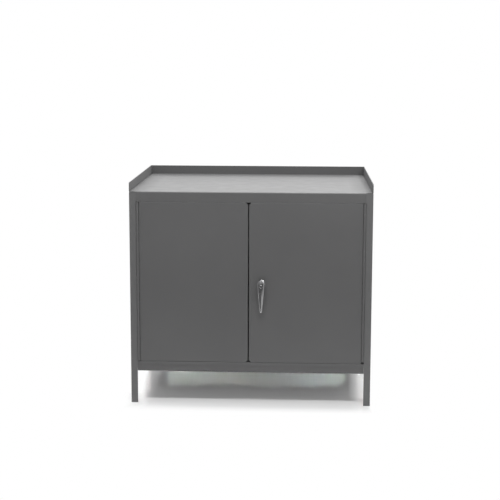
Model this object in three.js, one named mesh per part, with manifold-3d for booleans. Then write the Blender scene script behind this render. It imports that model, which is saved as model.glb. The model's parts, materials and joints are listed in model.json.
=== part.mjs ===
// Workbench with cabinet doors: an all-welded steel bench cabinet with a lipped worktop, two doors on
// continuous hinges, and a lever handle that throws two latch rods.
// Millimetres, +Z up. The cabinet is drawn with its front at low Y and its middle at X = 0.

import * as THREE from 'three';
import { mergeVertices } from 'three/addons/utils/BufferGeometryUtils.js';
import Module from 'manifold-3d';

// Cabinet
const cabinetWidth = 914.4; // over the legs
const cabinetDepth = 614; // over the legs
const worktopHeight = 818.5; // floor to working surface
const lipHeight = 36.5; // at the back, above the working surface
const lipFrontHeight = 33.3; // the side lips fall towards the front
const lipCorner = 6; // rounding of the side lips' front ends
const skirtDepth = 39; // front edge of the worktop, bent down to the doors
const stopDrop = 12; // door stop below the skirt's lower edge
const floorHeight = 164.5; // top of the base shelf
const floorFlange = 14; // front flange of the base shelf
const railHeight = 125; // floor to the underside of rail and panels
const railReturn = 18; // inward flange of the toe rail
const panelReturn = 15; // inward flange along the side panels' lower edges
const sillHeight = 15;
const sillDepth = 15;

// Sheet metal
const worktopGauge = 2.7;
const shelfGauge = 1.9;
const bodyGauge = 1.5;
const bendInside = 1.5; // inside radius of every bend
const bendSteps = 4;
const seam = 0.2; // between pieces that are welded or rest together

// Sides of round holes and pins
const boreSides = 24;
const rodSides = 12;
const pinSides = 8;

// Rolled angle legs
const legFlange = 25.4;
const legThickness = 3.2;
const legFillet = 2;
const legEdge = 1.2;
const legSteps = 3;

// Worktop stiffener
const hatWidth = 80;
const hatDepth = 38;
const hatFlange = 16;

// Shelf and its supports
const standardWidth = 22;
const standardDepth = 9;
const standardInset = 117; // cabinet's front and back to the standards' middles
const standardTopGap = 14; // below the worktop
const slotPitch = 50.8;
const slotFirst = 60; // cabinet floor to the first slot
const slotWidth = 14;
const slotHeight = 5;
const shelfSlot = 4; // slot that holds the shelf, counted from 0
const clipWidth = 12.6;
const clipGauge = 2.4;
const clipLedge = 24;
const clipHook = 11;
const clipInside = 0.6;
const shelfFlange = 25;
const shelfSetback = 75; // front of the cabinet to the front of the shelf
const shelfSideGap = 2;
const shelfRearGap = 6;
const shelfClip = 10;

// Doors
const doorFlange = 20;
const doorBend = 0.5; // inside radius along the doors' edges
const doorGap = 0.25; // to the skirt and the cabinet floor
const meetingGap = 3.4;
const meetingOffset = -7.2; // middle of the gap between the doors
const cornerClip = 4;
const stopGap = 1;
const braceWidth = 50;
const braceDepth = 14;
const braceFlange = 12;
const braceInset = 30; // from the door's upper and lower edge

// Continuous hinges
const barrelDiameter = 9;
const pinDiameter = 5;
const pinClearance = 0.25;
const leafWidth = 20;
const leafGauge = 1.5;
const knuckleCount = 16;
const knuckleGap = 0.4;
const curlSteps = 14;
const legGap = 0.8; // barrel to the leg
const hingeInset = 1.5; // from the door's upper and lower edge
const stileDepth = 26;

// Lever handle
const handleHeight = 467; // floor to the handle's axis
const handleInset = 46.2; // door's free edge to the handle's axis
const leverReach = 32; // proud of the door
const leverRise = 23.5; // axis to the top of the hub
const leverDrop = 103; // axis to the tip
const hubWidth = 27;
const bellyWidth = 24; // steers the taper between hub and tip
const tipWidth = 7.6;
const hubDepth = 21.7;
const hubLength = 15; // axis to the start of the arm
const armStartDepth = 10.5; // axis to where the hub runs out into the arm
const hubBackDepth = 2.2; // rounding of the hub's upper end, behind
const hubFrontDepth = 9.8; // and in front
const armOffset = 17; // door to the back of the arm
const tipOffset = 19;
const armThickness = 15;
const tipThickness = 7;
const tipPinch = 0.3; // share of the tip's thickness lost at its end
const tipTurn = 0.88; // share of the quarter turn round the tip
const hubSteps = 5;
const armSteps = 18;
const tipSteps = 3;
const leverGap = 0.3;
const plugDiameter = 12.5;
const plugDepth = 12;
const plugSunk = 0.4;
const plugClearance = 0.25;
const keySlotWidth = 1.8;
const keySlotLength = 7.5;
const keySlotDepth = 8;
const collarDiameter = 30;
const collarFlange = 3.5;
const collarChamfer = 1;
const bossDiameter = 22;
const shankDiameter = 19;
const shankClearance = 0.4;
const collarBore = 12;
const nutWidth = 28; // across flats
const nutThickness = 5;
const spindleSide = 8;
const spindleClearance = 0.2;
const spindleSocket = 6;

// Latch
const camGauge = 3;
const camRadius = 8; // round ends of the cam
const camSteps = 8;
const camGap = 0.6;
const pinCircle = 16; // cam pins from the handle's axis
const camPinDiameter = 5;
const camPinPlay = 0.8;
const rodWidth = 12;
const rodGauge = 3.2;
const rodPadWidth = 20;
const rodPadHeight = 18;
const rodPadCorner = 3;
const slotRounding = 0.9; // share of the slot's half height
const rodShort = 1.2; // rod ends lie inside the door's edges
const rodPlay = 0.6;
const guideHeight = 24;
const guideFlange = 10;
const guideDistance = 200; // handle's axis to the middle of each guide

// Slide bolts of the left door
const boltDiameter = 8;
const boltPlay = 0.4;
const boltLength = 150;
const boltInset = 30; // door's free edge to the bolt
const boltDepth = 11; // front of the door to the bolt's axis
const boltKnobDiameter = 7;
const boltKnobLength = 18;
const boltKnobHeight = 14; // from the bolt's inner end
const bracketHeight = 30;
const bracketDistance = 70; // door's edge to the middle of the bracket

// Derived places
const side = cabinetWidth / 2;
const front = -cabinetDepth / 2;
const back = cabinetDepth / 2;
const worktopUnder = worktopHeight - worktopGauge;
const legInner = side - legFlange;
const legCorner = legThickness + legFillet + seam;
const panelOuter = side - legThickness - seam;
const panelInner = panelOuter - bodyGauge;
const backInner = back - legThickness - seam - bodyGauge;
const headerLow = worktopHeight - skirtDepth;
const stopFace = front + doorFlange + stopGap;
const barrelRadius = barrelDiameter / 2;
const hingeX = legInner - legGap - barrelRadius;
const doorEdge = hingeX - barrelRadius - seam;
const doorBottom = floorHeight + doorGap;
const doorTop = headerLow - doorGap;
const leftMeeting = meetingOffset - meetingGap / 2;
const rightMeeting = meetingOffset + meetingGap / 2;
const handleX = rightMeeting + handleInset;
const camFront = front + bodyGauge + seam + nutThickness + camGap;
const camBack = camFront + camGauge;
const rodFront = camBack + camGap;
const rodBack = rodFront + rodGauge;
const pinSwing = pinCircle * Math.SQRT1_2;
const rodOffset = (pinCircle + pinSwing) / 2;
const boltX = leftMeeting - boltInset;
const standardFace = panelInner - seam - standardDepth;
const planShift = leverReach / 2;
const margin = 5; // how far cutters pass the faces they cut
const mergeDistance = 1e-4;
const straightTurn = 1e-9;

const wasm = await Module();
wasm.setup();

// Solids from three.js geometries, and geometries from solids

function solid(geometry) {
  const bare = geometry.clone();
  bare.deleteAttribute('normal');
  bare.deleteAttribute('uv');
  const merged = mergeVertices(bare, mergeDistance);
  const triVerts = new Uint32Array(merged.index.array);
  return new wasm.Manifold(new wasm.Mesh({
    numProp: 3,
    vertProperties: merged.attributes.position.array,
    triVerts,
  }));
}

function geometryOf(body) {
  const mesh = body.getMesh();
  const geometry = new THREE.BufferGeometry();
  geometry.setAttribute('position', new THREE.BufferAttribute(mesh.vertProperties, 3));
  geometry.setIndex(new THREE.BufferAttribute(mesh.triVerts, 1));
  geometry.computeVertexNormals();
  return geometry;
}

function join(first, ...others) {
  return geometryOf(others.reduce((body, other) => body.add(solid(other)), solid(first)));
}

function cut(first, ...tools) {
  return geometryOf(tools.reduce((body, tool) => body.subtract(solid(tool)), solid(first)));
}

function common(first, second) {
  return geometryOf(solid(first).intersect(solid(second)));
}

// Sections, as lists of [first, second] points

// Points of a round corner: the outline turns there, or the sheet bends, about one centre.
function arcPoints(centre, start, turn, radius, steps) {
  return Array.from({ length: steps + 1 }, (_, i) => {
    const angle = start + (turn * i) / steps;
    return [centre.x + radius * Math.cos(angle), centre.y + radius * Math.sin(angle)];
  });
}

// Closed outline from corners [u, v, radius]; the radius may be left out.
function outline(corners, steps = bendSteps) {
  const points = corners.map(([u, v]) => new THREE.Vector2(u, v));
  return corners.flatMap(([u, v, radius], i) => {
    if (!radius) return [[u, v]];
    const count = points.length;
    const before = points[i].clone().sub(points[(i + count - 1) % count]).normalize();
    const after = points[(i + 1) % count].clone().sub(points[i]).normalize();
    const turn = Math.atan2(before.cross(after), before.dot(after));
    const hand = Math.sign(turn);
    const inward = new THREE.Vector2(-before.y, before.x).multiplyScalar(hand * radius);
    const lead = before.clone().multiplyScalar(-radius * Math.tan(Math.abs(turn) / 2));
    const centre = points[i].clone().add(lead).add(inward);
    const start = Math.atan2(-inward.y, -inward.x);
    return arcPoints(centre, start, turn, radius, steps);
  });
}

// Section of a bent sheet. The points run along one face, with the metal on the left of the way.
function sheet(face, gauge, inside = bendInside) {
  const points = face.map(([u, v]) => new THREE.Vector2(u, v));
  const ways = points.slice(1).map((point, i) => point.clone().sub(points[i]).normalize());
  const leftOf = (way) => new THREE.Vector2(-way.y, way.x);
  const near = [];
  const far = [];
  points.forEach((corner, i) => {
    const before = ways[Math.max(i - 1, 0)];
    const after = ways[Math.min(i, ways.length - 1)];
    const turn = Math.atan2(before.cross(after), before.dot(after));
    const normal = leftOf(before);
    if (Math.abs(turn) < straightTurn) {
      near.push([corner.x, corner.y]);
      far.push([corner.x + gauge * normal.x, corner.y + gauge * normal.y]);
      return;
    }
    const hand = Math.sign(turn);
    const nearRadius = hand > 0 ? inside + gauge : inside;
    const farRadius = hand > 0 ? inside : inside + gauge;
    const reach = nearRadius * hand;
    const inward = normal.clone().add(leftOf(after));
    const mitre = inward.multiplyScalar(reach / (1 + normal.dot(leftOf(after))));
    const centre = corner.clone().add(mitre);
    const start = Math.atan2(-hand * normal.y, -hand * normal.x);
    near.push(...arcPoints(centre, start, turn, nearRadius, bendSteps));
    far.push(...arcPoints(centre, start, turn, farRadius, bendSteps));
  });
  return [...near, ...far.reverse()];
}

// Hat section: two flanges and a crown. The flanges lie at base, and the crown stands out by depth.
function hatSheet(middle, base, inner, depth, flange, gauge) {
  const foot = inner + gauge;
  return sheet([
    [middle - foot - flange, base],
    [middle - inner, base],
    [middle - inner, base + depth],
    [middle + inner, base + depth],
    [middle + inner, base],
    [middle + foot + flange, base],
  ], gauge);
}

function circle(u, v, radius, sides) {
  const centre = new THREE.Vector2(u, v);
  return arcPoints(centre, Math.PI / sides, 2 * Math.PI, radius, sides).slice(0, -1);
}

function mirrored(section, hand) {
  return section.map(([u, v]) => [hand * u, v]);
}

// Extrusions of a section along one axis, from low to high

function extrude(section, length, holes = []) {
  const shape = new THREE.Shape(section.map(([u, v]) => new THREE.Vector2(u, v)));
  shape.holes = holes.map((hole) => new THREE.Path(hole.map(([u, v]) => new THREE.Vector2(u, v))));
  return new THREE.ExtrudeGeometry(shape, { depth: length, bevelEnabled: false });
}

function alongX(section, low, high, holes) {
  const turn = new THREE.Matrix4().makeBasis(
    new THREE.Vector3(0, 1, 0),
    new THREE.Vector3(0, 0, 1),
    new THREE.Vector3(1, 0, 0),
  );
  return extrude(section, high - low, holes).applyMatrix4(turn).translate(low, 0, 0);
}

function alongY(section, low, high, holes) {
  return extrude(section, high - low, holes).rotateX(Math.PI / 2).translate(0, high, 0);
}

function alongZ(section, low, high, holes) {
  return extrude(section, high - low, holes).translate(0, 0, low);
}

function block(low, high) {
  const size = high.map((value, i) => value - low[i]);
  const middle = high.map((value, i) => (value + low[i]) / 2);
  return new THREE.BoxGeometry(...size).translate(...middle);
}

// Shallow pan with flanges on four sides and clipped corners, floor at Z = 0 and open towards +Z
function pan(width, length, height, gauge, clip, inside = bendInside) {
  const basin = (inset, low, high, radius) => {
    const channel = (half) => outline([
      [-half + inset, high],
      [-half + inset, low, radius],
      [half - inset, low, radius],
      [half - inset, high],
    ]);
    return common(
      alongY(channel(width / 2), -length / 2, length / 2),
      alongX(channel(length / 2), -width / 2, width / 2),
    );
  };
  const hollow = basin(gauge, gauge, height + margin, inside);
  const corners = [[1, 1], [-1, 1], [-1, -1], [1, -1]].map(([right, up]) => alongZ([
    [right * (width / 2 - clip - margin), up * (length / 2 + margin)],
    [right * (width / 2 + margin), up * (length / 2 + margin)],
    [right * (width / 2 + margin), up * (length / 2 - clip - margin)],
  ], -margin, height + margin));
  return cut(basin(0, 0, height, inside + gauge), hollow, ...corners);
}

// Materials

function finish(color, roughness, metalness) {
  return new THREE.MeshStandardMaterial({ color, roughness, metalness });
}

const greyPaint = finish(0x5f5f60, 0.45, 0.0);
const chrome = finish(0xd8d9db, 0.12, 1.0);
const zincSteel = finish(0x9c9da0, 0.35, 1.0);

const cabinet = new THREE.Group();

function place(name, geometry, material = greyPaint) {
  const mesh = new THREE.Mesh(geometry, material);
  mesh.name = name;
  cabinet.add(mesh);
}

// Worktop: a sheet bent up along three edges and down along the front, between the legs
function worktop() {
  const top = worktopHeight + lipHeight;
  const above = top + margin;
  const bend = bendInside + worktopGauge;
  const across = (half, low, high, radius) => outline([
    [-half, high],
    [-half, low, radius],
    [half, low, radius],
    [half, high],
  ]);
  const outer = common(
    alongY(across(side, worktopUnder, top, bend), front, back),
    alongX(outline([
      [front, worktopUnder],
      [back, worktopUnder, bend],
      [back, top],
      [front, worktopHeight + lipFrontHeight, lipCorner],
    ]), -side, side),
  );
  const inX = side - worktopGauge;
  const inY = back - worktopGauge;
  const hollow = common(
    alongY(across(inX, worktopHeight, above, bendInside), front - margin, inY),
    alongX(outline([
      [front - margin, worktopHeight],
      [inY, worktopHeight, bendInside],
      [inY, above],
      [front - margin, above],
    ]), -side, side),
  );
  const end = legInner - seam;
  const frontEdge = block(
    [-end, front - margin, worktopUnder - margin],
    [end, front + bend, worktopHeight + margin],
  );
  const skirt = alongX(sheet([
    [front + bend + margin, worktopHeight],
    [front, worktopHeight],
    [front, headerLow],
  ], worktopGauge), -end, end);
  return join(cut(outer, hollow, frontEdge), skirt);
}

function worktopStiffener() {
  const section = sheet([
    [-hatWidth / 2 - hatFlange, worktopUnder - seam - bodyGauge],
    [-hatWidth / 2, worktopUnder - seam - bodyGauge],
    [-hatWidth / 2, worktopUnder - seam - hatDepth],
    [hatWidth / 2, worktopUnder - seam - hatDepth],
    [hatWidth / 2, worktopUnder - seam - bodyGauge],
    [hatWidth / 2 + hatFlange, worktopUnder - seam - bodyGauge],
  ], bodyGauge);
  return alongX(section, seam - panelInner, panelInner - seam);
}

// Upright cutter for a rod or a bolt, through a level sheet at the given height
function rodHole(middle, height) {
  const half = rodWidth / 2 + rodPlay;
  return block(
    [middle - half, rodFront - rodPlay, height - margin],
    [middle + half, rodBack + rodPlay, height + margin],
  );
}

function boltHole(height) {
  const ring = circle(boltX, front + boltDepth, boltDiameter / 2 + boltPlay, rodSides);
  return alongZ(ring, height - margin, height + margin);
}

function headerRail() {
  const face = front + worktopGauge + seam;
  const section = sheet([
    [face, worktopUnder - bendInside - seam],
    [face, headerLow],
    [stopFace, headerLow],
    [stopFace, headerLow - stopDrop],
  ], bodyGauge);
  const rail = alongX(section, seam - legInner, legInner - seam);
  return cut(rail, rodHole(handleX + rodOffset, headerLow), boltHole(headerLow));
}

function baseShelf() {
  const end = legInner - seam;
  const wide = panelInner - seam;
  const middle = alongX(sheet([
    [backInner - seam, floorHeight],
    [front, floorHeight],
    [front, floorHeight - floorFlange],
  ], shelfGauge), -end, end);
  const floor = block(
    [-wide, front + legThickness + seam, floorHeight - shelfGauge],
    [wide, backInner - seam, floorHeight],
  );
  return cut(join(middle, floor), rodHole(handleX - rodOffset, floorHeight), boltHole(floorHeight));
}

function toeRail() {
  const face = front + shelfGauge + seam;
  const section = sheet([
    [face, floorHeight - shelfGauge - bendInside - seam],
    [face, railHeight],
    [face + railReturn, railHeight],
  ], bodyGauge);
  return alongX(section, seam - legInner, legInner - seam);
}

// Rolled angle with its outer corner at the cabinet's corner; right and rear are 1 or -1
function leg(right, rear) {
  const corners = [
    [0, 0, legEdge],
    [legFlange, 0],
    [legFlange, legThickness, legEdge],
    [legThickness, legThickness, legFillet],
    [legThickness, legFlange, legEdge],
    [0, legFlange],
  ];
  const section = outline(corners, legSteps).map(([u, v]) => [right * (side - u), rear * (back - v)]);
  return alongZ(section, 0, worktopUnder - seam);
}

function sidePanel(right) {
  const section = sheet([
    [panelInner - panelReturn, railHeight],
    [panelOuter, railHeight],
    [panelOuter, worktopUnder - seam],
  ], bodyGauge);
  return alongY(mirrored(section, right), front + legCorner, back - legCorner);
}

function backPanel() {
  const half = side - legCorner;
  return block([-half, backInner, railHeight], [half, backInner + bodyGauge, worktopUnder - seam]);
}

function hingeStile(right) {
  const section = sheet([
    [legInner, front + stileDepth],
    [legInner, front + legThickness + seam],
    [side - legCorner, front + legThickness + seam],
  ], bodyGauge);
  return alongZ(mirrored(section, right), floorHeight + seam, worktopUnder - seam);
}

function sillStop() {
  const base = floorHeight + seam;
  const section = sheet([
    [stopFace, base + sillHeight],
    [stopFace, base],
    [stopFace + sillDepth, base],
  ], bodyGauge);
  return alongX(section, seam - legInner, legInner - seam);
}

// Shelf and its supports

const slotBase = floorHeight + slotFirst;
const standardTop = worktopUnder - standardTopGap;
const slotCount = Math.floor((standardTop - slotFirst / 2 - slotBase) / slotPitch) + 1;
const clipMiddle = slotBase + shelfSlot * slotPitch;
const shelfBase = clipMiddle + clipGauge / 2 + seam;

function shelfStandard(right, rear) {
  const middle = rear * (back - standardInset);
  const root = panelInner - seam;
  const section = sheet([
    [root, middle + standardWidth / 2],
    [standardFace, middle + standardWidth / 2],
    [standardFace, middle - standardWidth / 2],
    [root, middle - standardWidth / 2],
  ], bodyGauge);
  const slots = Array.from({ length: slotCount }, (_, i) => {
    const height = slotBase + i * slotPitch;
    const centre = right * standardFace;
    return block(
      [centre - margin / 2, middle - slotWidth / 2, height - slotHeight / 2],
      [centre + margin / 2, middle + slotWidth / 2, height + slotHeight / 2],
    );
  });
  return cut(alongZ(mirrored(section, right), floorHeight + seam, standardTop), ...slots);
}

function shelfClipPiece(right, rear) {
  const middle = rear * (back - standardInset);
  const under = clipMiddle - clipGauge / 2;
  const hookBack = standardFace + bodyGauge + seam + clipGauge;
  const section = sheet([
    [standardFace - clipLedge, under],
    [hookBack, under],
    [hookBack, under + clipHook],
  ], clipGauge, clipInside);
  return alongY(mirrored(section, right), middle - clipWidth / 2, middle + clipWidth / 2);
}

function midShelf() {
  const width = 2 * (standardFace - shelfSideGap);
  const frontEdge = front + shelfSetback;
  const rearEdge = backInner - shelfRearGap;
  return pan(width, rearEdge - frontEdge, shelfFlange, shelfGauge, shelfClip)
    .rotateX(Math.PI)
    .translate(0, (frontEdge + rearEdge) / 2, shelfBase + shelfFlange);
}

// Doors

function doorPan(low, high) {
  return pan(high - low, doorTop - doorBottom, doorFlange, bodyGauge, cornerClip, doorBend)
    .rotateX(-Math.PI / 2)
    .translate((low + high) / 2, front, (doorTop + doorBottom) / 2);
}

function leftDoorPan() {
  return cut(doorPan(-doorEdge, leftMeeting), boltHole(doorTop), boltHole(doorBottom));
}

function rightDoorPan() {
  const collarHole = alongY(
    circle(handleX, handleHeight, shankDiameter / 2 + shankClearance, boreSides),
    front - margin,
    front + margin,
  );
  return cut(
    doorPan(rightMeeting, doorEdge),
    collarHole,
    rodHole(handleX + rodOffset, doorTop),
    rodHole(handleX - rodOffset, doorBottom),
  );
}

function doorStiffener(middle) {
  const base = front + bodyGauge + seam;
  const section = hatSheet(middle, base, braceWidth / 2, braceDepth, braceFlange, bodyGauge);
  return alongZ(section, doorBottom + braceInset, doorTop - braceInset);
}

// Continuous hinge. Each leaf is a strip with every other knuckle rolled round the pin.

const hingeLow = doorBottom + hingeInset;
const hingeHigh = doorTop - hingeInset;
const knucklePitch = (hingeHigh - hingeLow) / knuckleCount;

function hingeLeaf(right, onFrame) {
  const outer = barrelRadius;
  const inner = outer - leafGauge;
  const stripStart = outer + knuckleGap;
  const bore = pinDiameter / 2 + pinClearance;
  const curlEnd = Math.acos(inner / outer);
  const curl = arcPoints(new THREE.Vector2(0, 0), 0, curlEnd - 2 * Math.PI, outer, curlSteps);
  const rolled = [[outer, stripStart + leafGauge], ...curl, [inner, stripStart + leafGauge]];
  const hand = onFrame ? 1 : -1;
  const toPlace = ([u, v]) => [right * (hingeX + hand * u), front + v];
  const reach = onFrame ? legGap - seam : 0;
  const strip = [
    [inner + reach, stripStart],
    [outer + reach, stripStart],
    [outer + reach, leafWidth],
    [inner + reach, leafWidth],
  ].map(toPlace);
  const knuckles = [];
  for (let i = onFrame ? 0 : 1; i < knuckleCount; i += 2) {
    const low = hingeLow + i * knucklePitch + knuckleGap / 2;
    const high = low + knucklePitch - knuckleGap;
    knuckles.push(alongZ(rolled.map(toPlace), low, high, [circle(0, 0, bore, pinSides).map(toPlace)]));
  }
  return join(alongZ(strip, hingeLow, hingeHigh), ...knuckles);
}

function hingePin(right) {
  return alongZ(circle(right * hingeX, front, pinDiameter / 2, pinSides), hingeLow, hingeHigh);
}

// Lever handle, drawn on the front of the door about the handle's axis

// Half width along the lever: a round hub above the axis, then a curve that tapers to a round tip.
const hubRadius = hubWidth / 2;
const hubCentre = leverRise - hubRadius;
const tipRadius = tipWidth / 2;
const tipCentre = leverDrop - tipRadius;

function armStation(share) {
  const fall = share * (tipCentre + hubCentre) - hubCentre;
  const rest = 1 - share;
  const half = rest * rest * hubRadius + share * rest * bellyWidth + share * share * tipRadius;
  const arm = THREE.MathUtils.smoothstep(fall, armStartDepth, hubLength + armThickness);
  const along = THREE.MathUtils.clamp((fall - hubLength) / (leverDrop - hubLength), 0, 1);
  const rear = THREE.MathUtils.lerp(armOffset, tipOffset, along);
  const thick = THREE.MathUtils.lerp(armThickness, tipThickness, along);
  const near = THREE.MathUtils.lerp(leverReach - hubDepth, rear, arm);
  const far = THREE.MathUtils.lerp(leverReach, rear + thick, arm);
  return { height: -fall, half, near, far, arm };
}

function leverStations() {
  const hub = armStation(0);
  const tip = armStation(1);
  const stations = [];
  for (let i = 1; i <= hubSteps; i += 1) {
    const angle = (Math.PI / 2) * (1 - (i - 0.5) / hubSteps);
    const dome = 1 - Math.cos(angle);
    stations.push({
      height: hubCentre + hubRadius * Math.sin(angle),
      half: hubRadius * Math.cos(angle),
      near: hub.near + hubBackDepth * dome,
      far: hub.far - hubFrontDepth * dome,
      arm: hub.arm,
    });
  }
  for (let i = 0; i <= armSteps; i += 1) stations.push(armStation(i / armSteps));
  for (let i = 1; i <= tipSteps; i += 1) {
    const angle = (Math.PI / 2) * tipTurn * (i / tipSteps);
    const pinch = (tip.far - tip.near) * tipPinch * (1 - Math.cos(angle));
    stations.push({
      height: -tipCentre - tipRadius * Math.sin(angle),
      half: tipRadius * Math.cos(angle),
      near: tip.near + pinch,
      far: tip.far - pinch,
      arm: tip.arm,
    });
  }
  return stations;
}

// Section across the lever, as shares of the half width and of the thickness. The back is flat and the edges
// are round. The front is flat on the hub (second share) and rises to a ridge on the arm (third share).
const halfSection = [
  [0.7, 0, 0],
  [0.95, 0.14, 0.14],
  [1, 0.36, 0.36],
  [0.97, 0.76, 0.54],
  [0.86, 0.94, 0.69],
  [0.66, 1, 0.78],
  [0.33, 1, 0.91],
];
const leverSection = [
  ...halfSection,
  [0, 1, 1],
  ...halfSection.map(([across, hub, arm]) => [-across, hub, arm]).reverse(),
];

function leverLoft() {
  const stations = leverStations();
  const ring = leverSection.length;
  const rowOf = ({ height, half, near, far, arm }) => leverSection.flatMap(([across, hub, ridge]) => [
    handleX + across * half,
    front - near - THREE.MathUtils.lerp(hub, ridge, arm) * (far - near),
    handleHeight + height,
  ]);
  const positions = stations.flatMap(rowOf);
  const index = [];
  for (let i = 0; i + 1 < stations.length; i += 1) {
    for (let j = 0; j < ring; j += 1) {
      const next = (j + 1) % ring;
      const here = i * ring;
      const below = here + ring;
      index.push(here + j, here + next, below + next, here + j, below + next, below + j);
    }
  }
  const last = (stations.length - 1) * ring;
  for (let j = 1; j + 1 < ring; j += 1) {
    index.push(0, j + 1, j);
    index.push(last, last + j, last + j + 1);
  }
  const geometry = new THREE.BufferGeometry();
  geometry.setAttribute('position', new THREE.Float32BufferAttribute(positions, 3));
  geometry.setIndex(index);
  return geometry;
}

const plugFront = front - leverReach + plugSunk;
const socketHalf = spindleSide / 2 + spindleClearance;
const spindleFront = front - leverReach + hubDepth - spindleSocket;

function handleLever() {
  const bore = alongY(
    circle(handleX, handleHeight, plugDiameter / 2 + plugClearance, boreSides),
    front - leverReach - margin,
    plugFront + plugDepth + seam,
  );
  const flat = block(
    [handleX - hubWidth, front - leverReach - margin, handleHeight - leverDrop - margin],
    [handleX + hubWidth, front - leverReach, handleHeight + leverRise + margin],
  );
  const socket = block(
    [handleX - socketHalf, spindleFront - seam, handleHeight - socketHalf],
    [handleX + socketHalf, front, handleHeight + socketHalf],
  );
  return cut(leverLoft(), flat, bore, socket);
}

function lockPlug() {
  const rim = circle(handleX, handleHeight, plugDiameter / 2, boreSides);
  const plug = alongY(rim, plugFront, plugFront + plugDepth);
  const keySlot = block(
    [handleX - keySlotWidth / 2, plugFront - margin, handleHeight - keySlotLength / 2],
    [handleX + keySlotWidth / 2, plugFront + keySlotDepth, handleHeight + keySlotLength / 2],
  );
  return cut(plug, keySlot);
}

function handleCollar() {
  const tip = leverReach - hubDepth - leverGap;
  const rear = bodyGauge + seam + nutThickness;
  const profile = [
    [collarBore / 2, -tip],
    [bossDiameter / 2, -tip],
    [bossDiameter / 2, -collarFlange],
    [collarDiameter / 2 - collarChamfer, -collarFlange],
    [collarDiameter / 2, collarChamfer - collarFlange],
    [collarDiameter / 2, -seam],
    [shankDiameter / 2, -seam],
    [shankDiameter / 2, rear],
    [collarBore / 2, rear],
    [collarBore / 2, -tip],
  ];
  return new THREE.LatheGeometry(profile.map(([r, y]) => new THREE.Vector2(r, y)), boreSides)
    .translate(handleX, front, handleHeight);
}

function collarNut() {
  const hexagon = circle(handleX, handleHeight, nutWidth / Math.sqrt(3), 6);
  const bore = circle(handleX, handleHeight, shankDiameter / 2 + seam, boreSides);
  const face = front + bodyGauge + seam;
  return alongY(hexagon, face, face + nutThickness, [bore]);
}

function handleSpindle() {
  return block(
    [handleX - spindleSide / 2, spindleFront, handleHeight - spindleSide / 2],
    [handleX + spindleSide / 2, camBack, handleHeight + spindleSide / 2],
  );
}

// Latch

function latchCam() {
  const ends = [-Math.PI / 4, (3 * Math.PI) / 4];
  const centres = ends.map((angle) => new THREE.Vector2(
    handleX + pinCircle * Math.cos(angle),
    handleHeight + pinCircle * Math.sin(angle),
  ));
  const plateOutline = centres.flatMap((centre, i) => (
    arcPoints(centre, ends[i] - Math.PI / 2, Math.PI, camRadius, camSteps)
  ));
  const square = [[-1, -1], [1, -1], [1, 1], [-1, 1]].map(([u, v]) => (
    [handleX + u * socketHalf, handleHeight + v * socketHalf]
  ));
  const plate = alongY(plateOutline, camFront, camBack, [square]);
  const pins = centres.map((centre) => (
    alongY(circle(centre.x, centre.y, camPinDiameter / 2, rodSides), camFront + seam, rodBack + seam)
  ));
  return join(plate, ...pins);
}

// Latch rod: a flat bar with a slotted pad over its cam pin; up is 1 for the upper rod, -1 for the lower
function latchRod(up) {
  const middle = handleX + up * rodOffset;
  const pinHeight = handleHeight - up * pinSwing;
  const end = up > 0 ? doorTop - rodShort : doorBottom + rodShort;
  const heightAt = (value) => pinHeight + up * value;
  const bar = outline([
    [middle - rodPadWidth / 2, heightAt(-rodPadHeight / 2), rodPadCorner],
    [middle + rodPadWidth / 2, heightAt(-rodPadHeight / 2), rodPadCorner],
    [middle + rodPadWidth / 2, heightAt(rodPadHeight / 2), rodPadCorner],
    [middle + rodWidth / 2, heightAt(rodPadHeight / 2)],
    [middle + rodWidth / 2, end],
    [middle - rodWidth / 2, end],
    [middle - rodWidth / 2, heightAt(rodPadHeight / 2)],
    [middle - rodPadWidth / 2, heightAt(rodPadHeight / 2), rodPadCorner],
  ]);
  const half = (pinCircle - pinSwing + camPinDiameter) / 2 + camPinPlay;
  const rise = camPinDiameter / 2 + camPinPlay;
  const slot = outline([
    [middle - half, pinHeight - rise, rise * slotRounding],
    [middle + half, pinHeight - rise, rise * slotRounding],
    [middle + half, pinHeight + rise, rise * slotRounding],
    [middle - half, pinHeight + rise, rise * slotRounding],
  ]);
  return alongY(bar, rodFront, rodBack, [slot]);
}

// Strap that holds a rod or a bolt against the door, bridged over it
function strap(middle, inner, crown, flange, height, tall) {
  const base = front + bodyGauge + seam;
  const section = hatSheet(middle, base, inner, crown - base, flange, bodyGauge);
  return alongZ(section, height - tall / 2, height + tall / 2);
}

function rodGuide(up) {
  const inner = rodWidth / 2 + rodPlay;
  const height = handleHeight + up * guideDistance;
  return strap(handleX + up * rodOffset, inner, rodBack + rodPlay, guideFlange, height, guideHeight);
}

// Slide bolt with a finger knob; up is 1 for the upper bolt, -1 for the lower
function slideBolt(up) {
  const end = up > 0 ? doorTop - rodShort : doorBottom + rodShort;
  const root = end - up * boltLength;
  const axis = front + boltDepth;
  const ring = circle(boltX, axis, boltDiameter / 2, rodSides);
  const rod = alongZ(ring, Math.min(end, root), Math.max(end, root));
  const knob = alongY(
    circle(boltX, root + up * boltKnobHeight, boltKnobDiameter / 2, rodSides),
    axis,
    axis + boltKnobLength,
  );
  return join(rod, knob);
}

function boltBracket(up) {
  const inner = boltDiameter / 2 + boltPlay;
  const crown = front + boltDepth + inner;
  const height = up > 0 ? doorTop - bracketDistance : doorBottom + bracketDistance;
  return strap(boltX, inner, crown, guideFlange, height, bracketHeight);
}

// Assembly

place('worktop', worktop());
place('worktop_stiffener', worktopStiffener());
place('header_rail', headerRail());
place('base_shelf', baseShelf());
place('toe_rail', toeRail());
place('back_panel', backPanel());
place('sill_stop', sillStop());
place('mid_shelf', midShelf());

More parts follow.
